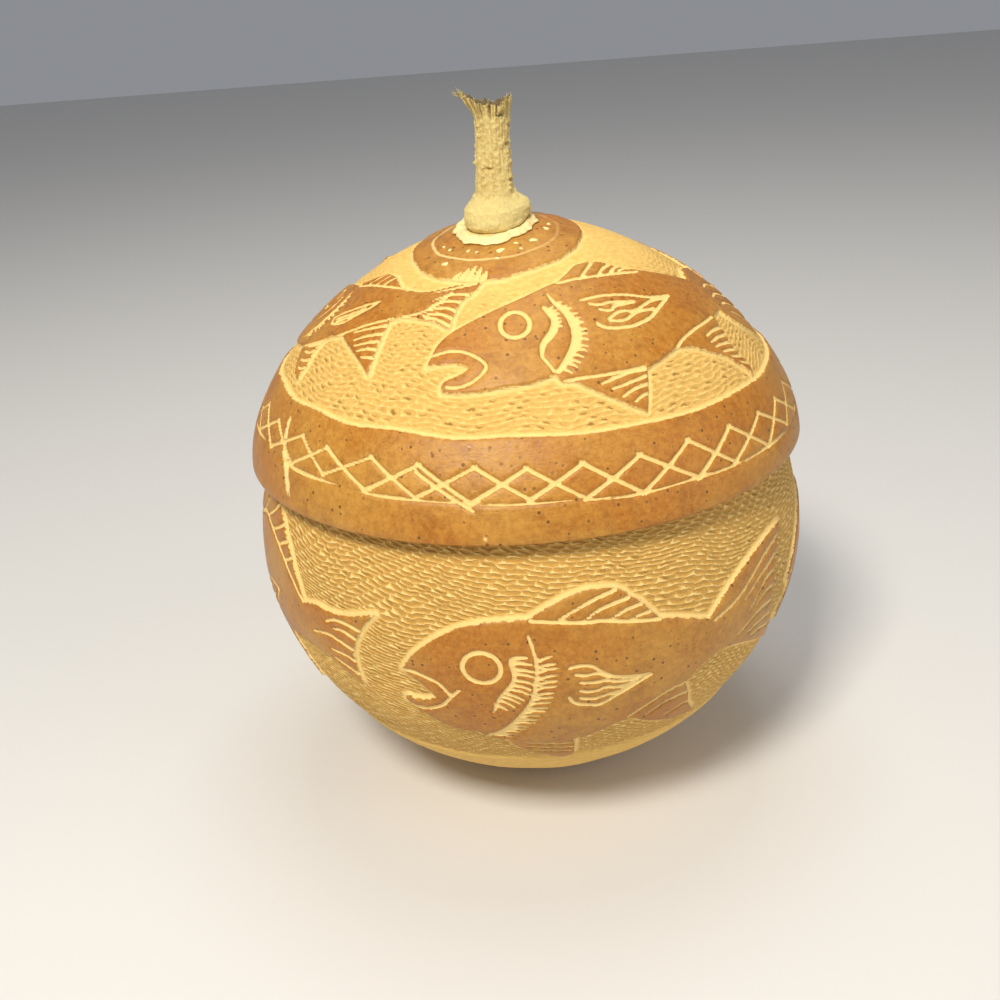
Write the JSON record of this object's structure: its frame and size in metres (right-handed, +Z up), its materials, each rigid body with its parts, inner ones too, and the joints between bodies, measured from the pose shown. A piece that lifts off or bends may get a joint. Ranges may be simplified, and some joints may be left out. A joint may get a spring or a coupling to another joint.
{
  "type": "carved gourd box with lid",
  "caption": "Round hollow gourd bowl with an overlapping domed gourd lid, low-relief carved fish, a lattice band, and a dried stalk as the handle.",
  "frame": {"origin": "middle of the flat underside that the bowl stands on", "axes": "+Z up through the bowl, lid and stalk; -Y is the front, where the largest fish is; +X to the right seen from the front"},
  "size_m": [0.1918, 0.1918, 0.2386],
  "materials": {
    "gourd_shell": "dried calabash rind, satin brown skin over a matt cream carved ground",
    "dried_glue": "dull dried glue, slightly translucent cream",
    "dried_stalk": "rough dry corky stalk, straw coloured with a grey weathered top"
  },
  "bodies": {
    "root": {"bowl": "gourd_shell", "lid": "gourd_shell", "glue_collar": "dried_glue", "stem": "dried_stalk"}
  },
  "joints": []
}
